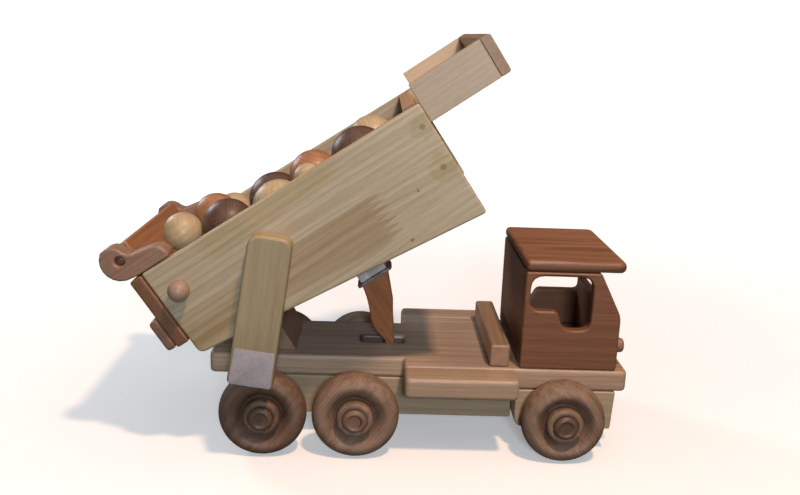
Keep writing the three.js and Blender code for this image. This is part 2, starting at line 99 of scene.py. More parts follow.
# ---- Shader nodes ----
class Shader:
    """Builds one material. Each call adds a node and gives back its output, to pass on to the next."""

    def __init__(self, name):
        self.material = bpy.data.materials.new(name)
        self.material.use_nodes = True
        self.tree = self.material.node_tree
        self.surface = self.tree.nodes["Principled BSDF"]

    def join(self, socket, value):
        if isinstance(value, bpy.types.NodeSocket):
            self.tree.links.new(value, socket)
        else:
            socket.default_value = value

    def add(self, kind, inputs, output=0, **settings):
        node = self.tree.nodes.new(kind)
        for name, value in settings.items():
            setattr(node, name, value)
        for socket, value in inputs.items():
            self.join(node.inputs[socket], value)
        return node.outputs[output]

    def math(self, operation, *values):
        return self.add("ShaderNodeMath", dict(enumerate(values)), operation=operation)

    def vector(self, operation, *values):
        return self.add("ShaderNodeVectorMath", dict(enumerate(values)), operation=operation)

    def place(self):
        return self.add("ShaderNodeTexCoord", {}, output="Object")

    def stretched(self, vector, scale, shift=(0, 0, 0), turn=(0, 0, 0)):
        inputs = {"Vector": vector, "Scale": scale, "Location": shift, "Rotation": turn}
        return self.add("ShaderNodeMapping", inputs)

    def in_millimetres(self, turn):
        """The place on the piece, turned so that X runs along its board."""
        return self.stretched(self.place(), TO_MM, turn=turn)

    def noise(self, vector, scale=1.0, detail=2.0, rough=0.5, output="Fac"):
        inputs = {"Vector": vector, "Scale": scale, "Detail": detail, "Roughness": rough}
        return self.add("ShaderNodeTexNoise", inputs, output=output)

    def length(self, vector):
        return self.add("ShaderNodeVectorMath", {0: vector}, output="Value", operation="LENGTH")

    def scaled(self, colour, by):
        return self.add("ShaderNodeVectorMath", {0: colour, "Scale": by}, operation="SCALE")

    def tinted(self, colour, factor, red, green, blue):
        """Multiplies a colour where factor is 1."""
        return self.blend(factor, colour, (red, green, blue, 1), "MULTIPLY")

    def split(self, vector):
        node = self.tree.nodes.new("ShaderNodeSeparateXYZ")
        self.join(node.inputs[0], vector)
        return node.outputs["X"], node.outputs["Y"], node.outputs["Z"]

    def step(self, value, start, stop, low=0.0, high=1.0):
        """A smooth step from low to high as the value goes from start to stop."""
        inputs = {0: value, 1: start, 2: stop, 3: low, 4: high}
        return self.add("ShaderNodeMapRange", inputs, interpolation_type="SMOOTHSTEP")

    def band(self, value, start, stop, soft):
        """1 between start and stop, 0 outside."""
        rise = self.step(value, start - soft, start + soft)
        fall = self.step(value, stop - soft, stop + soft, 1.0, 0.0)
        return self.math("MULTIPLY", rise, fall)

    def blend(self, factor, first, second, how="MIX"):
        """Mixes two colours."""
        node = self.tree.nodes.new("ShaderNodeMix")
        node.data_type = "RGBA"
        node.blend_type = how
        self.join(node.inputs["Factor"], factor)
        self.join(node.inputs["A"], first)
        self.join(node.inputs["B"], second)
        return node.outputs["Result"]

    def finish(self, colour, roughness, height, depth, coat, coat_roughness=0.3, shine=0.5):
        """The finished material. height is its relief from 0 to 1, and depth that relief in millimetres."""
        surface = self.surface.inputs
        self.join(surface["Base Color"], colour)
        self.join(surface["Roughness"], roughness)
        surface["Coat Weight"].default_value = coat
        surface["Coat Roughness"].default_value = coat_roughness
        surface["Specular IOR Level"].default_value = shine
        bump = self.add("ShaderNodeBump", {"Height": height, "Strength": 0.5, "Distance": depth * MM})
        self.join(surface["Normal"], bump)
        return self.material


def rgb(red, green, blue):
    """A shader colour from its display values, 0 to 255."""

    def linear(value):
        value /= 255
        return value / 12.92 if value <= 0.04045 else ((value + 0.055) / 1.055) ** 2.4

    return (linear(red), linear(green), linear(blue), 1.0)


# ---- Woods ----
class Wood:
    """One kind of wood: the colours of its early and late growth, and how strongly its grain shows.

    contrast is for its rings, pores for its dark specks, and streaks for its long stains."""

    def __init__(self, early, late, ring=3.2, contrast=0.6, pores=0.2, streaks=0.3, wave=12, gloss=0.42):
        self.early = early
        self.late = late
        self.ring = ring  # millimetres between growth rings
        self.contrast = contrast
        self.pores = pores
        self.streaks = streaks
        self.wave = wave  # how far the rings wander, in millimetres
        self.gloss = gloss  # its roughness: a higher value is duller


PINE = Wood(rgb(202, 190, 160), rgb(161, 141, 106), ring=5.5, contrast=0.5, pores=0.06, streaks=0.42)
VISOR_PINE = Wood(rgb(194, 178, 150), rgb(166, 142, 110), ring=6, contrast=0.3, pores=0.06, streaks=0.25)
# painted shade: a darker copy of the visor's pine, for its end plate's shaded inner face
SHADED_VISOR_PINE = Wood(rgb(170, 144, 116), rgb(146, 112, 80), ring=5, contrast=0.4, pores=0.06, streaks=0.4)
ARM_PINE = Wood(rgb(178, 164, 128), rgb(150, 132, 96), ring=5, contrast=0.35, pores=0.06, streaks=0.3, wave=6)
BED_FRONT = Wood(rgb(208, 172, 134), rgb(182, 138, 98), ring=4.5, contrast=0.4, pores=0.06, streaks=0.3)
# painted light: a paler copy of the visor's pine, for the far side plate's lit inner face
LIT_VISOR_PINE = Wood(rgb(218, 194, 158), rgb(196, 162, 124), ring=5, contrast=0.35, pores=0.06, streaks=0.3)
STEP_GRAIN = {"ring": 5, "contrast": 0.4, "pores": 0.08, "streaks": 0.4, "wave": 6}
STEP_PINE = Wood(rgb(192, 166, 138), rgb(160, 129, 100), **STEP_GRAIN)
DECK = Wood(rgb(186, 164, 143), rgb(146, 121, 102), ring=4.2, contrast=0.5, pores=0.12, streaks=0.5, wave=6)
RAIL = Wood(rgb(190, 170, 138), rgb(160, 134, 100), ring=5, contrast=0.35, pores=0.08, streaks=0.35, wave=5)
BEECH_GRAIN = {"ring": 3.1, "pores": 0.3, "streaks": 0.5, "wave": 4, "gloss": 0.55}
BEECH = Wood(rgb(162, 133, 109), rgb(96, 70, 54), contrast=0.5, **BEECH_GRAIN)
# painted shade: a darker copy of the beech, for the rear wheels, which lie in shade
SHADED_BEECH = Wood(rgb(136, 108, 88), rgb(80, 56, 43), contrast=0.45, **BEECH_GRAIN)
DARK_PIN = Wood(rgb(132, 90, 66), rgb(92, 56, 38), ring=2.4, contrast=0.5, pores=0.4, streaks=0.4, wave=3)
CAB = Wood(rgb(144, 98, 68), rgb(110, 70, 48), ring=3.6, contrast=0.35, pores=0.3, streaks=0.45, wave=14)
CAB_ROOF = Wood(rgb(176, 127, 93), rgb(118, 74, 48), ring=4.4, contrast=0.8, pores=0.3, streaks=0.5, wave=12)
BLOCK = Wood(rgb(170, 140, 114), rgb(130, 100, 78), ring=3.4, contrast=0.45, pores=0.2, streaks=0.4, wave=5)
TUSK = Wood(rgb(184, 118, 72), rgb(136, 78, 42), ring=3, contrast=0.5, pores=0.25, streaks=0.5, wave=6)
GATE = Wood(rgb(184, 130, 90), rgb(142, 90, 58), ring=3.2, contrast=0.5, pores=0.2, streaks=0.4, wave=8)
EAR_GRAIN = {"ring": 3.2, "contrast": 0.5, "pores": 0.35, "streaks": 0.45, "wave": 8}
EAR = Wood(rgb(172, 138, 114), rgb(132, 100, 80), **EAR_GRAIN)
BATTEN = Wood(rgb(142, 112, 94), rgb(106, 78, 62), **EAR_GRAIN)
PEG_GRAIN = {"ring": 2.8, "pores": 0.35, "streaks": 0.35, "wave": 3}
PEG = Wood(rgb(168, 134, 108), rgb(116, 84, 62), contrast=0.6, **PEG_GRAIN)
BROWN_PEG = Wood(rgb(140, 111, 90), rgb(98, 72, 55), contrast=0.5, **PEG_GRAIN)
DARK_PEG = Wood(rgb(114, 88, 71), rgb(78, 56, 44), contrast=0.5, **PEG_GRAIN)
SIDE_PEG_GRAIN = {"ring": 2.4, "contrast": 0.35, "pores": 0.2, "streaks": 0.3, "wave": 2}
SIDE_PEG = Wood(rgb(182, 151, 129), rgb(154, 118, 98), **SIDE_PEG_GRAIN)
BALL_MAPLE = Wood(rgb(206, 184, 144), rgb(170, 140, 100), ring=4.5, contrast=0.5, pores=0.1, streaks=0.3)
BALL_CHERRY = Wood(rgb(188, 134, 92), rgb(140, 88, 56), ring=3.4, contrast=0.6, pores=0.2, streaks=0.35)
BALL_WALNUT = Wood(rgb(116, 84, 66), rgb(66, 44, 34), ring=3, contrast=0.8, pores=0.4, streaks=0.5)
PORE_BROWN = rgb(48, 28, 18)
WOOD_RELIEF = 0.12  # millimetres


def late_growth(shader, grain, kind, heart, seed):
    """1 where the wood grew at the end of a summer, and 0 where it grew in a spring."""
    slow = shader.stretched(grain, (0.0025, 0.012, 0.012), shift=(seed, seed * 1.7, 0))
    wander = shader.vector("SUBTRACT", shader.noise(slow, 1, 2, 0.5, "Color"), (0.5, 0.5, 0.5))
    wandered = shader.vector("MULTIPLY_ADD", wander, (0, 2 * kind.wave, 2 * kind.wave), grain)
    centred = shader.vector("SUBTRACT", wandered, (0, heart[0], heart[1]))
    from_heart = shader.length(shader.vector("MULTIPLY", centred, (0.01, 1, 1)))
    ragged = shader.noise(shader.stretched(grain, (0.008, 0.4, 0.4), shift=(0, seed, 0)), 1, 2)
    rings = shader.math("MULTIPLY_ADD", ragged, 0.45, shader.math("DIVIDE", from_heart, kind.ring))
    year = shader.math("FRACT", rings)
    return shader.math("MULTIPLY", shader.math("POWER", year, 2.2), shader.step(year, 0.88, 1.0, 1.0, 0.0))


def wood(
    name, kind, turn=(0, 0, 0), heart=(0, 0), seed=0,
    origin=(0, 0, 0), where=Shader.place, staves=None, tint=None,
):
    """A board's wood, worked out in millimetres along, across and up the board.

    turn lays the board's length along X, and origin is the point those distances are taken from. heart is
    how far across and up the tree's middle lies. where gives another place than the piece's own, staves
    shifts the grain of boards that are glued up, and tint changes the colour."""
    shader = Shader(name)
    turned_origin = Euler(turn).to_matrix() @ (Vector(origin) / MM)
    board = shader.stretched(where(shader), TO_MM, shift=-turned_origin, turn=turn)
    grain = board
    if staves:
        shift = shader.add("ShaderNodeCombineXYZ", {1: staves(shader, board)})
        grain = shader.vector("ADD", board, shift)

    late = late_growth(shader, grain, kind, heart, seed)
    fibre = shader.noise(shader.stretched(grain, (0.04, 1.5, 1.5), shift=(0, 0, seed)), 1, 3, 0.6)
    streak = shader.noise(shader.stretched(grain, (0.004, 0.14, 0.14), shift=(seed, 0, seed)), 1, 3, 0.6)
    pore = shader.noise(shader.stretched(grain, (0.2, 2.6, 2.6), shift=(seed, seed, 0)), 1, 1)
    pores = shader.step(pore, 0.58, 0.7)

    colour = shader.blend(shader.math("MULTIPLY", late, kind.contrast), kind.early, kind.late)
    colour = shader.blend(shader.step(streak, 0.35, 0.68, 0.0, kind.streaks), colour, kind.late)
    colour = shader.scaled(colour, shader.step(fibre, 0.3, 0.7, 0.9, 1.06))
    colour = shader.blend(shader.math("MULTIPLY", pores, kind.pores), colour, PORE_BROWN)
    if tint:
        colour = tint(shader, board, colour)

    roughness = shader.step(fibre, 0.2, 0.8, kind.gloss - 0.06, kind.gloss + 0.1)
    height = shader.math("MULTIPLY_ADD", late, 0.4, fibre)
    height = shader.math("MULTIPLY_ADD", pores, -0.8, height)
    coat_weight = 0.15 if kind.gloss < 0.5 else 0.03
    return shader.finish(colour, roughness, height, WOOD_RELIEF, coat_weight)


# How to lay each board's length along X for its grain.
ALONG = (0, 0, 0)
ACROSS = (0, 0, -math.pi / 2)
BED_ALONG = (0, TILT, 0)
BED_ACROSS = (0, TILT, -math.pi / 2)
BED_UP = (0, TILT + math.pi / 2, 0)
ARM_ALONG = (0, ARM_LEAN, 0)


# ---- Boards ----
TRUCK_ORIGIN = place(0, 0, 0)
BED_ORIGIN = place(0, 0, PIVOT_Z)
SAME_POINT = 0.00001  # metres
FLAT_ANGLE = math.radians(1)
EDGE_ANGLE = math.radians(40)


def soften(node, edge, steps=3):
    """Rounds a board's edges, by less than its own rounded corners, and shades its curved faces smoothly."""
    piece = NODES[node]
    for face in piece.data.polygons:
        face.use_smooth = True
    weld = piece.modifiers.new("weld", "WELD")
    weld.merge_threshold = SAME_POINT
    plain = piece.modifiers.new("plain", "DECIMATE")
    plain.decimate_type = "DISSOLVE"
    plain.angle_limit = FLAT_ANGLE
    bevel = piece.modifiers.new("edge", "BEVEL")
    bevel.width = edge * MM
    bevel.segments = steps
    bevel.limit_method = "ANGLE"
    bevel.angle_limit = EDGE_ANGLE
    bevel.use_clamp_overlap = False
    bevel.loop_slide = False
    normals = piece.modifiers.new("normals", "WEIGHTED_NORMAL")
    normals.weight = 90


def coat(node, material):
    NODES[node].data.materials.clear()
    NODES[node].data.materials.append(material)


def finish_board(node, kind, turn, edge, heart=(0, 0), seed=0, staves=None, tint=None):
    """Finishes one of the CAD's boards: its wood, and the roundness of its edges."""
    body = NODES[node]["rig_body"]
    origin = TRUCK_ORIGIN if body == "chassis" else BED_ORIGIN
    coat(node, wood(node, kind, turn, heart, seed, origin, staves=staves, tint=tint))
    soften(node, edge)


# ---- Turned pieces ----
def smooth_path(points, rounds=2):
    """Cuts a path's corners, so that they turn smoothly. Its ends stay."""
    for _ in range(rounds):
        path = [points[0]]
        for a, b in zip(points, points[1:]):
            path.append(tuple(p * 0.75 + q * 0.25 for p, q in zip(a, b)))
            path.append(tuple(p * 0.25 + q * 0.75 for p, q in zip(a, b)))
        path.append(points[-1])
        points = path
    return points


def turned(name, profile, axis, centre, steps=64):
    """A closed body turned on a lathe. The profile gives radius and place along the axis, in millimetres."""
    mesh = bmesh.new()
    turn = Vector((0, 0, 1)).rotation_difference(Vector(axis)).to_matrix()
    rings = []
    for radius, along in profile:
        if radius < 0.01:
            rings.append([mesh.verts.new(turn @ Vector((0, 0, along * MM)))])
            continue
        ring = []
        for i in range(steps):
            angle = 2 * math.pi * i / steps
            point = Vector((radius * math.cos(angle), radius * math.sin(angle), along)) * MM
            ring.append(mesh.verts.new(turn @ point))
        rings.append(ring)
    for a, b in zip(rings, rings[1:]):
        for i in range(steps):
            j = (i + 1) % steps
            corners = [a[i % len(a)], a[j % len(a)], b[j % len(b)], b[i % len(b)]]
            corners = list(dict.fromkeys(corners))
            if len(corners) > 2:
                mesh.faces.new(corners)
    bmesh.ops.recalc_face_normals(mesh, faces=mesh.faces)
    return as_piece(name, mesh, centre)


def as_piece(name, mesh, centre):
    data = bpy.data.meshes.new(name)
    mesh.to_mesh(data)
    mesh.free()
    for face in data.polygons:
        face.use_smooth = True
    piece = bpy.data.objects.new(name, data)
    bpy.context.scene.collection.objects.link(piece)
    piece.location = centre
    return piece


def stand_in(piece, node, material):
    """Shows this piece in place of its CAD node, on the same body."""
    piece.data.materials.append(material)
    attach(piece, NODES[node]["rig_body"])
    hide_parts(node)


# ---- Floor, light and camera ----
STUDIO_RADIUS = 2.2
STUDIO_TOP = 3.2
CURVE_RADIUS = 0.5  # where the floor turns up into the backdrop


def add_floor():
    """A pale floor that curves up into a backdrop all round, so that no edge of it shows."""
    path = [(0.7, 0), (1.5, 0)]
    for angle in np.linspace(0, 1.5, 12):
        radius = STUDIO_RADIUS + CURVE_RADIUS * math.sin(angle)
        path.append((radius, CURVE_RADIUS - CURVE_RADIUS * math.cos(angle)))
    path.append((STUDIO_RADIUS + 0.6, STUDIO_TOP))
    mesh = bmesh.new()
    steps = 64
    spokes = [2 * math.pi * i / steps for i in range(steps)]
    rings = []
    for radius, z in path:
        rings.append([mesh.verts.new((radius * math.cos(a), radius * math.sin(a), z)) for a in spokes])
    mesh.faces.new(rings[0])
    for a, b in zip(rings, rings[1:]):
        for i in range(steps):
            j = (i + 1) % steps
            mesh.faces.new((a[i], b[i], b[j], a[j]))
    floor = as_piece("floor", mesh, (0, 0, 0))
    floor.data.materials.append(floor_paint())


def floor_paint():
    """White as the camera sees it, and greyer in the light that it throws back on the truck."""
    shader = Shader("floor")
    speck = shader.noise(shader.place(), 14, 3)
    pale = shader.blend(speck, rgb(246, 245, 244), rgb(251, 251, 250))
    seen = shader.add("ShaderNodeLightPath", {}, output="Is Camera Ray")
    colour = shader.blend(seen, rgb(104, 101, 98), pale)
    away = shader.length(shader.vector("MULTIPLY", shader.place(), (1, 1, 0)))
    glow = shader.step(away, 0.25, 1.6, 0.3, 0.8)
    shader.join(shader.surface.inputs["Emission Strength"], shader.math("MULTIPLY", glow, seen))
    shader.surface.inputs["Emission Color"].default_value = (1, 1, 1, 1)
    return shader.finish(colour, 0.9, speck, 0.05, coat=0, shine=0.1)


LIT_PLACE = Vector((0, 0, 0.15))  # the middle of the truck, where the lights point
WARM = {"size": 0.16, "power": 27, "colour": (1.0, 0.64, 0.42)}
COOL = {"size": 0.26, "power": 9, "colour": (0.88, 0.98, 1.13)}
SOFT = {"size": 0.6, "power": 9, "colour": (0.94, 0.98, 1.05)}


def add_light(name, at, size, power, colour):
    light = bpy.data.lights.new(name, "AREA")
    light.shape = "DISK"
    light.size = size
    light.energy = power
    light.color = colour
    lamp = bpy.data.objects.new(name, light)
    bpy.context.scene.collection.objects.link(lamp)
    lamp.location = at
    lamp.rotation_euler = (LIT_PLACE - Vector(at)).to_track_quat("-Z", "Y").to_euler()


def add_lights():
    """A warm light high up, which leaves the deck in the bed's shadow, and cool ones in front and behind."""
    add_light("warm_top", (0.443, -0.9, 2.0), **WARM)
    add_light("front_fill", (0.12, -1.55, 0.68), **COOL)
    add_light("back_fill", (-1.35, 1.15, 0.9), **SOFT)
    world = bpy.data.worlds.new("studio")
    world.use_nodes = True
    sky = world.node_tree.nodes["Background"].inputs
    sky["Color"].default_value = (0.92, 0.98, 1.04, 1)
    sky["Strength"].default_value = 0.44
    bpy.context.scene.world = world
    bpy.context.scene.view_settings.view_transform = "Standard"


CAMERA_PLACE = (0.001, -0.8685, 0.411)
CAMERA_LENS = 37.9  # millimetres, for a sensor 36 wide


def add_camera():
    """Stands the camera at the truck's right side, a little above it, looking slightly down."""
    turn, down, roll = math.radians(1.5), math.radians(14.15), math.radians(2.1)
    forward = Vector((math.sin(turn) * math.cos(down), math.cos(turn) * math.cos(down), -math.sin(down)))
    level = forward.cross(Vector((0, 0, 1))).normalized()
    upright = level.cross(forward)
    right = level * math.cos(roll) + upright * math.sin(roll)
    top = upright * math.cos(roll) - level * math.sin(roll)
    lens = bpy.data.cameras.new("camera")
    lens.sensor_width = 36
    lens.lens = CAMERA_LENS
    lens.clip_start = 0.01
    camera = bpy.data.objects.new("camera", lens)
    bpy.context.scene.collection.objects.link(camera)
    axes = Matrix((right, top, -forward)).transposed()
    camera.matrix_world = Matrix.Translation(CAMERA_PLACE) @ axes.to_4x4()
    bpy.context.scene.camera = camera


# ---- The chassis ----
DECK_TOP = 89
DECK_STEP_X = 140  # where the deck widens
DECK_NARROW_Y = 55  # half the width of the deck behind it
SLOT_RIM_Y = 14.8  # how far the slot's rounded rim reaches across the deck
BEHIND_SLOT = 86
TUSK_X = 126  # where the tusk enters the slot
AHEAD_OF_SLOT = 160


def slot_painted_shade(shader, along, across, up, colour):
    """Painted shade in the slot: darkens its sides behind the tusk, and ahead of it only deep down."""
    under_top = shader.step(up, DECK_TOP - 0.05, DECK_TOP - 0.4)
    in_slot = shader.math("MULTIPLY", shader.band(across, -SLOT_RIM_Y, SLOT_RIM_Y, 0.2), under_top)
    behind = shader.math("MULTIPLY", in_slot, shader.band(along, BEHIND_SLOT, TUSK_X, 1.5))
    colour = shader.tinted(colour, behind, 0.27, 0.22, 0.2)
    deep = shader.math("MULTIPLY", in_slot, shader.step(up, DECK_TOP - 3, DECK_TOP - 4))
    deep = shader.math("MULTIPLY", deep, shader.band(along, TUSK_X, AHEAD_OF_SLOT, 1))
    return shader.tinted(colour, deep, 0.4, 0.34, 0.3)


def deck_seams_and_painted_light(shader, board, colour):
    """Glue lines, painted shade in the slot, and painted light on the rear sides, the shaded rear and the
    front end.
    """
    along, across, up = shader.split(board)
    seam = shader.math("MULTIPLY", shader.band(across, 0.2, 0.9, 0.3), shader.step(along, 142, 146))
    rear_seam = shader.math("MULTIPLY", shader.band(across, 31.2, 31.9, 0.3), shader.step(along, 250, 246))
    colour = shader.tinted(colour, shader.math("MULTIPLY", seam, 0.6), 0.55, 0.5, 0.45)
    colour = shader.tinted(colour, shader.math("MULTIPLY", rear_seam, 0.5), 0.6, 0.55, 0.5)
    colour = slot_painted_shade(shader, along, across, up, colour)
    # painted light: the narrow rear part's side faces a little lighter and yellower
    side = shader.step(shader.math("ABSOLUTE", across), DECK_NARROW_Y - 1, DECK_NARROW_Y - 0.2)
    side = shader.math("MULTIPLY", side, shader.step(along, DECK_STEP_X + 1, DECK_STEP_X - 1))
    colour = shader.tinted(colour, side, 1.06, 1.03, 0.9)
    # painted light: the rear, which lies in the bed's shadow, lighter and greyer
    colour = shader.tinted(colour, shader.step(along, 200, 150), 1.25, 1.26, 1.3)
    # painted light: the front end warmer, as under the warm lamp
    return shader.tinted(colour, shader.step(along, 235, 260), 1.12, 1.02, 0.92)


def deck_boards(shader, board):
    """Moves the grain of each of the deck's boards, so that they don't match."""
    _, across, _ = shader.split(board)
    return shader.step(across, 0.4, 0.7, 0, 47)


HEAD_BLOCK_END = 74  # from its middle


def pale_end(shader, board, colour):
    """Lightens the head block's right end."""
    along, _, _ = shader.split(board)
    at_end = shader.step(along, 0.6 - HEAD_BLOCK_END, 0.2 - HEAD_BLOCK_END)
    return shader.tinted(colour, at_end, 1.12, 1.05, 1.0)


def add_chassis():
    deck = {"staves": deck_boards, "tint": deck_seams_and_painted_light}
    finish_board("deck_board", DECK, ALONG, 3.6, heart=(15, -90), seed=1.3, **deck)
    finish_board("rail_right", RAIL, ALONG, 1.5, heart=(60, -60), seed=2.1)
    finish_board("rail_left", RAIL, ALONG, 1.5, heart=(-60, -60), seed=2.9)
    finish_board("front_axle_block", RAIL, ALONG, 2, heart=(30, -90), seed=3.3)
    finish_board("step_right", STEP_PINE, ALONG, 4, heart=(-20, -40), seed=4.1)
    finish_board("step_left", DECK, ALONG, 4, heart=(20, -90), seed=4.7)
    finish_board("head_block", BLOCK, ACROSS, 2.5, heart=(-190, 20), seed=5.3, tint=pale_end)
    finish_board("pivot_beam", BLOCK, ACROSS, 1.2, heart=(20, 40), seed=5.9)


# ---- The cab ----
ROOF_TOP = 202


def roof_edges_painted_shade(shader, board, colour):
    """Painted shade: darkens the roof's edges, under its rounded rim."""
    _, _, up = shader.split(board)
    return shader.tinted(colour, shader.step(up, ROOF_TOP - 2, ROOF_TOP - 4.5), 0.6, 0.6, 0.6)


def add_cab():
    finish_board("cab_side_right", CAB, ALONG, 2.5, heart=(-40, 60), seed=6.1)
    finish_board("cab_side_left", CAB, ALONG, 2.5, heart=(40, 60), seed=6.7)
    finish_board("cab_back", CAB, ACROSS, 1, heart=(-60, 60), seed=7.3)
    finish_board("cab_front", CAB, ACROSS, 1, heart=(-360, 60), seed=7.9)
    finish_board("cab_roof", CAB_ROOF, ALONG, 4.5, heart=(-20, 120), seed=8.3, tint=roof_edges_painted_shade)


# ---- The bed ----
STAVE_TOP = 76.5  # the joint over the bed side's brown stave
FINGER_HALF = 3.25  # half a finger's width
FINGER_SLOPE = 5.8  # how far a finger reaches for each millimetre of that
FINGER_ROOTS = 168
KNOTS = [  # along, up, size, and how far the stain round it reaches
    (248.6, 104, 2.0, 13),
    (245.5, 63.4, 2.2, 15),
    (214.8, 56.9, 0.9, 2),
    (185.9, 21.1, 1.1, 3),
]


def finger_joint(shader, along, up):
    """1 on the brown stave of the bed's right side, which ends in fingers glued into a pale one."""
    finger = shader.math("PINGPONG", shader.math("ADD", up, 0.4), FINGER_HALF)
    tip = shader.math("MULTIPLY_ADD", finger, FINGER_SLOPE, FINGER_ROOTS)
    before_tip = shader.step(shader.math("SUBTRACT", along, tip), -0.5, 0.5, 1.0, 0.0)
    bottom = shader.step(along, -20, FINGER_ROOTS + 1, 40, 32)
    over_bottom = shader.step(shader.math("SUBTRACT", up, bottom), -1.5, 1.5)
    under_top = shader.step(up, STAVE_TOP - 1, STAVE_TOP + 1, 1.0, 0.0)
    return shader.math("MULTIPLY", before_tip, shader.math("MULTIPLY", over_bottom, under_top))


def knot(shader, along, up, size, reach, at, colour):
    """A small dark knot, with a green-brown stain round it."""
    flat = shader.add("ShaderNodeCombineXYZ", {0: along, 1: up})
    away = shader.length(shader.vector("SUBTRACT", flat, (at[0], at[1], 0)))
    ragged = shader.math("MULTIPLY_ADD", shader.noise(flat, 0.12, 2), reach, away)
    stain = shader.step(ragged, reach * 1.25, reach * 1.5, 0.8, 0.0)
    colour = shader.tinted(colour, stain, 0.87, 0.86, 0.68)
    return shader.tinted(colour, shader.step(away, size, size * 1.7, 0.8, 0.0), 0.6, 0.5, 0.38)


def bed_side_staves(shader, board):
    """The bed's side is glued up from staves, each with a grain of its own."""
    _, _, up = shader.split(board)
    low = shader.step(up, 33, 34.5, 31, 0)
    high = shader.step(up, STAVE_TOP - 0.7, STAVE_TOP + 0.7, 0, 58)
    return shader.math("ADD", low, high)


def right_side_colours(shader, board, colour):
    """The bed's right side: its brown stave, its olive top, pale front and dark rear, and its knots."""
    along, _, up = shader.split(board)
    stave = finger_joint(shader, along, up)
    stave = shader.math("MULTIPLY", stave, shader.step(along, -30, 140, 0.55, 1.0))
    colour = shader.tinted(colour, stave, 0.8, 0.72, 0.62)
    olive = shader.math("MULTIPLY", shader.band(up, 109, 200, 3), shader.band(along, 18, 162, 12))
    colour = shader.tinted(colour, shader.math("MULTIPLY", olive, 0.7), 0.9, 0.87, 0.7)
    pale_front = shader.math("MULTIPLY", shader.step(along, 186, 240), 0.5)
    colour = shader.tinted(colour, pale_front, 1.05, 1.06, 1.08)
    low_rear = shader.math("MULTIPLY", shader.step(along, 60, -40), shader.step(up, 66, 50))
    colour = shader.tinted(colour, low_rear, 0.87, 0.81, 0.69)
    for at_along, at_up, size, reach in KNOTS:
        colour = knot(shader, along, up, size, reach, (at_along, at_up), colour)
    return colour


def gate_ends(shader, board, colour):
    """Darkens the end grain at the tailgate's two ends."""
    along, _, _ = shader.split(board)
    end = shader.step(shader.math("ABSOLUTE", along), 114.8, 115.8)
    return shader.tinted(colour, end, 0.52, 0.56, 0.62)


def arm_colours_and_painted_light(shader, board, colour):
    """The arm darkens towards its foot, and its top end has painted warm light."""
    along, _, _ = shader.split(board)
    colour = shader.tinted(colour, shader.step(along, 60, 0), 0.84, 0.82, 0.82)
    # painted light: the arm's top end warmer, as under the warm lamp
    return shader.tinted(colour, shader.step(along, 122, 126), 1.12, 1.0, 0.88)


def left_side_colours(shader, board, colour):
    """The middle stave of the bed's left side is a little browner than the others."""
    _, _, up = shader.split(board)
    stave = shader.band(up, 36, 82, 0.8)
    return shader.tinted(colour, shader.math("MULTIPLY", stave, 0.7), 0.9, 0.86, 0.78)


def add_bed():
    right = {"staves": bed_side_staves, "tint": right_side_colours}
    left = {"staves": bed_side_staves, "tint": left_side_colours}
    finish_board("bed_side_right", PINE, BED_ALONG, 2.6, heart=(-90, 30), seed=9.1, **right)
    finish_board("bed_side_left", PINE, BED_ALONG, 2.6, heart=(90, 40), seed=9.7, **left)
    finish_board("bed_floor", PINE, BED_ALONG, 0.8, heart=(0, 60), seed=10.3)
    finish_board("bed_front", BED_FRONT, BED_ACROSS, 1, heart=(-100, 140), seed=10.9)
    for side in SIDES:
        finish_board(f"arm_{side}", ARM_PINE, ARM_ALONG, 3, heart=(-240, 20), seed=12.1, tint=arm_colours_and_painted_light)
        finish_board(f"ear_{side}", EAR, BED_ALONG, 2.5, heart=(-60, 190), seed=13.7)
    finish_board("visor_side_right", VISOR_PINE, BED_ALONG, 0.8, heart=(-90, 200), seed=11.3)
    finish_board("visor_side_left", LIT_VISOR_PINE, BED_ALONG, 0.8, heart=(90, 200), seed=11.6)
    finish_board("visor_floor", VISOR_PINE, BED_ACROSS, 0.8, heart=(-100, 140), seed=11.9)
    finish_board("visor_end", SHADED_VISOR_PINE, BED_ACROSS, 0.8, heart=(-300, 160), seed=12.5)
    finish_board("prop_tusk", TUSK, BED_UP, 2, heart=(0, 60), seed=14.9)
    finish_board("tailgate_board", GATE, BED_ACROSS, 2.2, heart=(60, 160), seed=15.5, tint=gate_ends)
    finish_board("tailgate_batten", BATTEN, BED_ACROSS, 2.6, heart=(60, 160), seed=16.1)


def smooth_nylon():
    """Pale nylon with the faint lines of the cutter that shaped it."""
    shader = Shader("pale_nylon")
    at = shader.in_millimetres(BED_ALONG)
    lines = shader.noise(shader.stretched(at, (1.1, 0.06, 0.06)), 1, 3)
    cloud = shader.noise(shader.stretched(at, (0.08, 0.08, 0.05)), 1, 3)
    colour = shader.blend(shader.step(cloud, 0.3, 0.7), rgb(246, 244, 240), rgb(214, 210, 206))
    colour = shader.scaled(colour, shader.step(lines, 0.3, 0.7, 0.93, 1.03))
    roughness = shader.step(lines, 0.3, 0.7, 0.22, 0.36)
    return shader.finish(colour, roughness, lines, 0.05, coat=0.4, coat_roughness=0.15)


def brushed_steel():
    """A steel plate, brushed along the bed."""
    shader = Shader("brushed_steel")
    at = shader.in_millimetres(BED_ALONG)
    brushing = shader.noise(shader.stretched(at, (0.05, 2.4, 2.4)), 1, 4, 0.7)
    smudge = shader.noise(shader.stretched(at, (0.1, 0.1, 0.1)), 1, 3)
    colour = shader.blend(shader.step(smudge, 0.3, 0.7), rgb(192, 182, 178), rgb(150, 138, 132))
    colour = shader.scaled(colour, shader.step(brushing, 0.3, 0.7, 0.9, 1.05))
    shader.surface.inputs["Metallic"].default_value = 0.75
    roughness = shader.step(brushing, 0.2, 0.8, 0.26, 0.44)
    return shader.finish(colour, roughness, brushing, 0.04, coat=0)


def add_prop_mount():
    """The nylon block and the steel plate that the tusk hangs from."""
    coat("prop_block", smooth_nylon())
    soften("prop_block", 1.2)
    coat("prop_plate", brushed_steel())
    soften("prop_plate", 0.5)


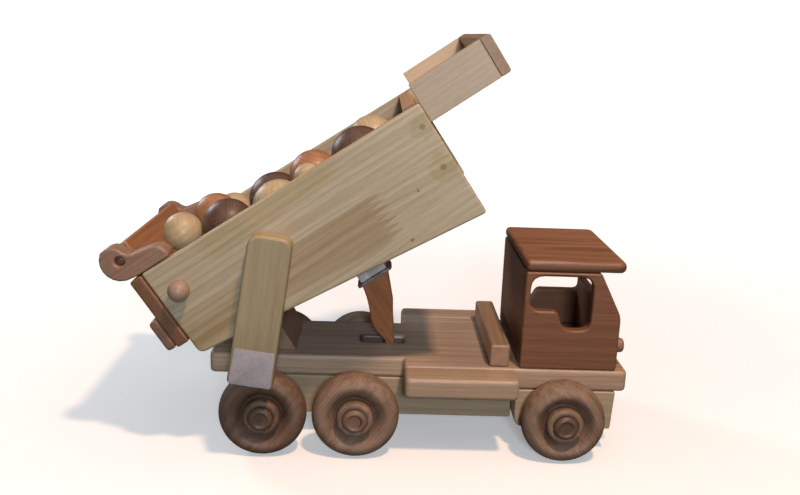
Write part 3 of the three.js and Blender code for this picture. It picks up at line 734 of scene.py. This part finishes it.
def grey_patch():
    """Dull grey paint, finely speckled."""
    shader = Shader("grey_patch")
    at = shader.in_millimetres(ARM_ALONG)
    speck = shader.noise(shader.stretched(at, (1.1, 1.1, 1.1)), 1, 3, 0.7)
    cloud = shader.noise(shader.stretched(at, (0.07, 0.07, 0.07)), 1, 2)
    colour = shader.blend(shader.step(speck, 0.35, 0.65), rgb(158, 153, 156), rgb(186, 181, 182))
    colour = shader.scaled(colour, shader.step(cloud, 0.3, 0.7, 0.92, 1.05))
    return shader.finish(colour, 0.6, speck, 0.08, coat=0)


# How far each patch reaches from the pivot, along the arm and to its front and rear.
PATCH = {"low": -18.4, "high": 17.4, "front": -15.4, "rear": 22.4, "low_rear": 24, "thickness": 0.26}
PATCH_CORNER = 1.6
PATCH_CORNER_STEPS = 4


def patch_outline():
    """The patch's corners, rounded, as distances along the arm and towards its rear side."""
    low, high, front = PATCH["low"], PATCH["high"], PATCH["front"]
    corners = [(low, front, 180), (high, front, 270), (high, PATCH["rear"], 0), (low, PATCH["low_rear"], 90)]
    points = []
    for along, back, start in corners:
        outwards = Vector((math.copysign(1, along), 0, math.copysign(1, back)))
        centre = Vector((along, 0, back)) - outwards * PATCH_CORNER
        for step in range(PATCH_CORNER_STEPS + 1):
            angle = math.radians(start + 90 * step / PATCH_CORNER_STEPS)
            points.append(centre + Vector((math.cos(angle), 0, math.sin(angle))) * PATCH_CORNER)
    return points


def add_foot_patches():
    """A thin grey patch on the outer face of each arm's foot."""
    material = grey_patch()
    lean = Matrix.Translation(place(0, 0, PIVOT_Z)) @ Matrix.Rotation(-ARM_LEAN, 4, "Y")
    for name, side in SIDES.items():
        low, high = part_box(f"arm_{name}")
        face_y = (low if side < 0 else high).y / MM
        mesh = bmesh.new()
        rings = []
        for depth, inset in ((0, 1), (PATCH["thickness"] * 0.7, 1), (PATCH["thickness"], 0.99)):
            points = [Vector((p.x * inset, face_y + side * depth, p.z * inset)) for p in patch_outline()]
            rings.append([mesh.verts.new(lean @ (p * MM)) for p in points])
        mesh.faces.new(rings[0])
        mesh.faces.new(rings[-1])
        for a, b in zip(rings, rings[1:]):
            for i in range(len(a)):
                j = (i + 1) % len(a)
                mesh.faces.new((a[i], a[j], b[j], b[i]))
        bmesh.ops.recalc_face_normals(mesh, faces=mesh.faces)
        patch = as_piece(f"foot_patch_{name}", mesh, (0, 0, 0))
        patch.data.materials.append(material)
        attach(patch, NODES[f"arm_{name}"]["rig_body"])


# ---- Wheels and pegs ----
WHEEL_RADIUS = {"rear": 43.5, "middle": 43.5, "front": 42}
AXLES = {"rear": 0, "middle": 92, "front": 300}
HUB_Y = {"rear": 55.6, "middle": 55.6, "front": 78.6}  # the inner end of each wheel's hub
PEG_Y = {"rear": 38.3, "middle": 38.3, "front": 46.3}  # the inner end of each axle peg
WHEEL_GRAIN = {"rear": 1.0, "middle": 0.95, "front": -1.0}  # how far each wheel's grain is turned
PEG_GRAIN_TURN = {"rear": 0, "middle": 0.4, "front": 0.8}


def wheel_profile(hub, radius):
    """From the bore's outer end to its inner one and back: hub, tyre, dish and boss."""
    r = radius
    tyre = [(14, 80.5), (r - 8, 80.5), (r - 5, 81), (r - 1.4, 85.5), (r, 91), (r, 97), (r - 1.4, 102.6)]
    dish = [(r - 5, 107.4), (r - 9, 109.6), (r - 12.5, 109.4), (27, 107), (23, 102.6), (20, 99.2)]
    boss = [(18.7, 98.8), (18.4, 100), (18.3, 107.2), (17.9, 109.4), (16.6, 110.8), (15, 111.3)]
    socket = [(13.4, 111.1), (12.9, 110.9), (12.7, 110.2), (12.7, 108.6), (12.5, 108.5), (5.4, 108.5)]
    inner = [(5.3, 108.4), (5.3, hub + 0.3), (5.6, hub), (12.2, hub), (13, hub + 0.8), (13.8, 80.2)]
    outside = smooth_path([inner[-1]] + tyre + dish + boss + socket)
    return inner + outside[1:] + [inner[0]]


def axle_peg_profile(end):
    shank = [(0, end), (4.4, end), (5, end + 0.6), (5, 108.5), (5.2, 108.8)]
    cap = [(11.6, 108.8), (12, 109.2), (12, 112.6), (11.7, 113.8), (9.8, 115.3), (8.6, 115.7)]
    dimple = [(7.6, 115.5), (6.8, 114.8), (5.6, 114.5), (3, 114.4)]
    return shank + smooth_path([shank[-1]] + cap + dimple)[1:] + [(0, 114.4)]


def cracked(shader, board, colour):
    """A short dark crack round the dimple of one cap."""
    across, _, up = shader.split(shader.scaled(shader.place(), 1000))
    flat = shader.add("ShaderNodeCombineXYZ", {0: across, 1: up})
    on_ring = shader.band(shader.length(flat), 5.6, 6.6, 0.4)
    crack = shader.math("MULTIPLY", on_ring, shader.step(across, 3.4, 4.4))
    return shader.tinted(colour, crack, 0.25, 0.2, 0.18)


def wheel_dish_painted_shade(shader, board, colour):
    """Painted shade: darkens the dish round the boss, where the hollow lies in shade."""
    x, _, z = shader.split(shader.scaled(shader.place(), 1000))
    away = shader.length(shader.add("ShaderNodeCombineXYZ", {0: x, 1: z}))
    dish_shade = shader.math("MULTIPLY", shader.step(away, 17.9, 18.6), shader.step(away, 29, 20))
    return shader.tinted(colour, shader.math("MULTIPLY", dish_shade, 0.7), 0.62, 0.55, 0.5)


def add_wheel(axle, name, seed):
    """One wheel and its peg. The rear wheels are the darkest, in a darker copy of the beech that paints their
    shade, and all but the middle pegs are dark.
    """
    side = SIDES[name]
    radius = WHEEL_RADIUS[axle]
    centre = place(AXLES[axle], 0, radius)
    profile = wheel_profile(HUB_Y[axle], radius)
    wheel = turned(f"turned_wheel_{axle}_{name}", profile, (0, side, 0), centre, 96)
    turn = (0, WHEEL_GRAIN[axle], 0)
    # painted shade: the rear wheels take the darker copy of the beech
    kind = SHADED_BEECH if axle == "rear" else BEECH
    grain = wood(f"wheel_{axle}_{name}_wood", kind, turn, (90 * side, 130), seed, tint=wheel_dish_painted_shade)
    stand_in(wheel, f"wheel_{axle}_{name}", grain)

    peg = turned(f"turned_peg_{axle}_{name}", axle_peg_profile(PEG_Y[axle]), (0, side, 0), centre, 48)
    mark = cracked if (axle, name) == ("middle", "right") else None
    kind = BROWN_PEG if axle == "middle" else DARK_PEG
    turn = (0, PEG_GRAIN_TURN[axle], 0)
    grain = wood(f"peg_{axle}_{name}_wood", kind, turn, (40, 15), seed + 0.6, tint=mark)
    stand_in(peg, f"axle_peg_{axle}_{name}", grain)


def add_wheels():
    for n, axle in enumerate(AXLES):
        for m, name in enumerate(SIDES):
            add_wheel(axle, name, 20 + 3.7 * n + 1.9 * m)


def add_headlights():
    shank = [(0, -3), (3.6, -3), (4, -2.6), (4, 0.3), (7.2, 0.3)]
    button = [(7.4, 0.6), (7.5, 5.8), (7.2, 7.6), (6, 9), (3.5, 9.7), (0, 9.7)]
    for name, side in SIDES.items():
        centre = place(354, 60 * side, 111.2)
        light = turned(f"turned_headlight_{name}", shank + smooth_path(button), (1, 0, 0), centre, 40)
        grain = wood(f"headlight_{name}_wood", PEG, ALONG, (14, 8), 31 + side)
        stand_in(light, f"headlight_{name}", grain)


def add_side_pegs():
    """The round-headed pegs through the bed's sides."""
    head = 10  # its radius
    head_y = 125
    shank = [(0, 100), (4.4, 100), (5, 100.7), (5, 115.6)]
    angles = np.linspace(math.asin(0.54), math.pi, 24)
    ball = [(head * math.sin(a), head_y - head * math.cos(a)) for a in angles[:-1]] + [(0, head_y + head)]
    for name, side in SIDES.items():
        peg = turned(f"turned_side_peg_{name}", shank + ball, (0, side, 0), in_bed(-20, 0, 98.6), 48)
        grain = wood(f"side_peg_{name}_wood", SIDE_PEG, ACROSS, (26, 9), 34 + side)
        stand_in(peg, f"side_peg_{name}", grain)


def add_pins():
    """The dowels that the tailgate swings on and the bed tips on."""
    hinge = in_bed(-52.8, 0, 149.5)
    # Each pin's wood, its radius, how far out its two ends lie, and a point of its axis.
    pins = {
        "tailgate_pin": (DARK_PIN, 4.3, 68.6, 113, hinge),
        "pivot_pin": (PEG, 6, 13.3, 126, place(0, 0, PIVOT_Z)),
    }
    for pin, (kind, radius, low, high, centre) in pins.items():
        low_edge = [(radius - 0.8, low), (radius, low + 0.8)]
        high_edge = [(radius, high - 1), (radius - 1, high)]
        profile = [(0, low)] + low_edge + high_edge + [(0, high)]
        for name, side in SIDES.items():
            dowel = turned(f"turned_{pin}_{name}", profile, (0, side, 0), centre, 32)
            grain = wood(f"{pin}_{name}_wood", kind, ACROSS, (15, 3), 37 + side)
            stand_in(dowel, f"{pin}_{name}", grain)


# ---- The load ----
BALL_WOODS = {"maple": BALL_MAPLE, "cherry": BALL_CHERRY, "walnut": BALL_WALNUT}
BALL_GAP = 0.3
BALL_FLAT = 0.985  # how far out the flats at a ball's ends lie, in radii
HIDDEN_BALLS = 44
# How far the hidden load reaches, in the bed's own axes.
LOAD_REAR = -38
LOAD_FRONT = 239.5
LOAD_SIDE = 103.5
EAR_SIDE = 93  # as far as the ears
EAR_FRONT = -10


def ball_mesh(mesh, centre, radius, dice, columns=32, rows=20):
    """Adds a ball turned a little out of round, with a flat at each end where it was parted off."""
    spin = Euler([dice.uniform(0, 6) for _ in range(3)]).to_matrix()
    wobble = [(dice.uniform(0, 6), dice.uniform(0.001, 0.003)) for _ in range(4)]
    rings = []
    for row in range(rows + 1):
        tip = math.pi * row / rows
        ring = []
        for column in range(columns if 0 < row < rows else 1):
            turn = 2 * math.pi * column / columns
            bulge = 0.994
            for k, (start, size) in enumerate(wobble):
                bulge += size * math.sin(tip) * math.sin(k * turn + (k + 2) * tip + start) / 2
            point = Vector((math.sin(tip) * math.cos(turn), math.sin(tip) * math.sin(turn), math.cos(tip)))
            point.z = max(-BALL_FLAT, min(BALL_FLAT, point.z))
            ring.append(mesh.verts.new(centre + spin @ point * radius * bulge))
        rings.append(ring)
    for a, b in zip(rings, rings[1:]):
        for i in range(columns):
            j = (i + 1) % columns
            corners = [a[i % len(a)], b[i % len(b)], b[j % len(b)], a[j % len(a)]]
            mesh.faces.new(list(dict.fromkeys(corners)))
    return [vert for ring in rings for vert in ring]


def add_balls():
    for n, node in enumerate(sorted(name for name in NODES if name.startswith("ball_"))):
        dice = random.Random(n + 5)
        low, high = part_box(node)
        mesh = bmesh.new()
        ball_mesh(mesh, Vector((0, 0, 0)), (high.z - low.z) / 2, dice, 64, 40)
        ball = as_piece(f"turned_{node}", mesh, (low + high) / 2)
        kind = node.split("_")[2]
        turn = tuple(dice.uniform(0, 6) for _ in range(3))
        heart = (dice.uniform(20, 50), dice.uniform(4, 30))
        grain = wood(f"{node}_wood", BALL_WOODS[kind], turn, heart, n * 2.3)
        stand_in(ball, node, grain)


def bed_floor_top(along):
    """How high the bed floor's top lies, in the bed's own axes."""
    return 44.9 - (along + 43.3) * 0.1


def push_apart(centres, radii, fixed_centres, fixed_radii):
    """Moves overlapping balls away from each other, and from the balls that stay."""
    for others, sizes, share in ((centres, radii, 0.5), (fixed_centres, fixed_radii, 1.0)):
        gap = centres[:, None] - others[None]
        distance = np.linalg.norm(gap, axis=2) + 1e-6
        overlap = np.maximum(0, radii[:, None] + sizes[None] + BALL_GAP - distance)
        if others is centres:
            np.fill_diagonal(overlap, 0)
        centres = centres + share * (gap / distance[:, :, None] * overlap[:, :, None]).sum(axis=1)
    return centres


def keep_in_bed(centres, radii):
    """Keeps the balls between the bed's walls and its ears, on its floor and under its rim."""
    side = np.where(centres[:, 0] - radii < EAR_FRONT, EAR_SIDE, LOAD_SIDE) - radii
    low = np.stack([LOAD_REAR + radii, -side, bed_floor_top(centres[:, 0]) + 0.6 + radii], axis=1)
    rim = 118 - 0.25 * (centres[:, 1] + 104) - radii
    high = np.stack([LOAD_FRONT - radii, side, np.maximum(rim, low[:, 2])], axis=1)
    return np.clip(centres, low, high)


def pack_balls(fixed_centres, fixed_radii, count=HIDDEN_BALLS):
    """Pours balls into the bed round those that stay, and lets them roll to rest."""
    dice = np.random.default_rng(12)
    radii = dice.uniform(17.5, 23, count)
    centres = dice.uniform((-20, -80, 30), (220, 80, 100), (count, 3))
    for step in range(500):
        if step < 350:
            centres = centres + np.array((-0.25, 0.1, -0.5))
        centres = push_apart(centres, radii, fixed_centres, fixed_radii)
        centres = keep_in_bed(centres, radii)
    return centres, fit_radii(centres, radii, fixed_centres, fixed_radii)


def fit_radii(centres, radii, fixed_centres, fixed_radii):
    """Shrinks the balls that still touch, so that each is clear of the rest."""
    for _ in range(40):
        for i, centre in enumerate(centres):
            others = np.delete(np.arange(len(centres)), i)
            room = np.linalg.norm(centres[others] - centre, axis=1) - radii[others] - BALL_GAP
            fixed_room = np.linalg.norm(fixed_centres - centre, axis=1) - fixed_radii - BALL_GAP
            most = min(room.min(), fixed_room.min())
            if radii[i] > most:
                radii[i] = max(0.0, radii[i] - 0.5 * (radii[i] - most) - 0.02)
    return radii


def ball_grain(shader):
    """The place in its own ball that each point of the hidden load carries."""
    return shader.add("ShaderNodeAttribute", {}, 1, attribute_name="grain")


def hidden_balls(name, centres, radii, picked):
    """The picked balls as one piece, whose points carry their place in their own ball."""
    mesh = bmesh.new()
    grain = mesh.verts.layers.float_vector.new("grain")
    for i in picked:
        dice = random.Random(100 + i)
        centre = in_bed(*centres[i])
        turn = Euler([dice.uniform(0, 6) for _ in range(3)]).to_matrix()
        away = Vector((dice.uniform(-1, 1), dice.uniform(0.03, 0.06), dice.uniform(-0.05, 0.05)))
        for vert in ball_mesh(mesh, centre, radii[i] * MM, dice, 24, 15):
            vert[grain] = turn @ (vert.co - centre) + away
    return as_piece(name, mesh, (0, 0, 0))


def add_hidden_load():
    """The rest of the load, under and behind the balls of the CAD: one piece for each kind of wood."""
    nodes = sorted(name for name in NODES if name.startswith("ball_"))
    boxes = [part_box(node) for node in nodes]
    fixed_centres = np.array([BED_AXES.inverted() @ ((low + high) / 2) / MM for low, high in boxes])
    fixed_radii = np.array([(high.z - low.z) / 2 / MM for low, high in boxes])
    centres, radii = pack_balls(fixed_centres, fixed_radii)
    for n, (kind, kind_wood) in enumerate(BALL_WOODS.items()):
        picked = range(n, len(centres), len(BALL_WOODS))
        load = hidden_balls(f"hidden_load_{kind}", centres, radii, picked)
        load.data.materials.append(wood(f"hidden_load_{kind}_wood", kind_wood, seed=50 + n, where=ball_grain))
        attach(load, NODES[nodes[0]]["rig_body"])


add_camera()
add_floor()
add_lights()
add_chassis()
add_cab()
add_bed()
add_prop_mount()
add_foot_patches()
add_wheels()
add_headlights()
add_side_pegs()
add_pins()
add_balls()
add_hidden_load()
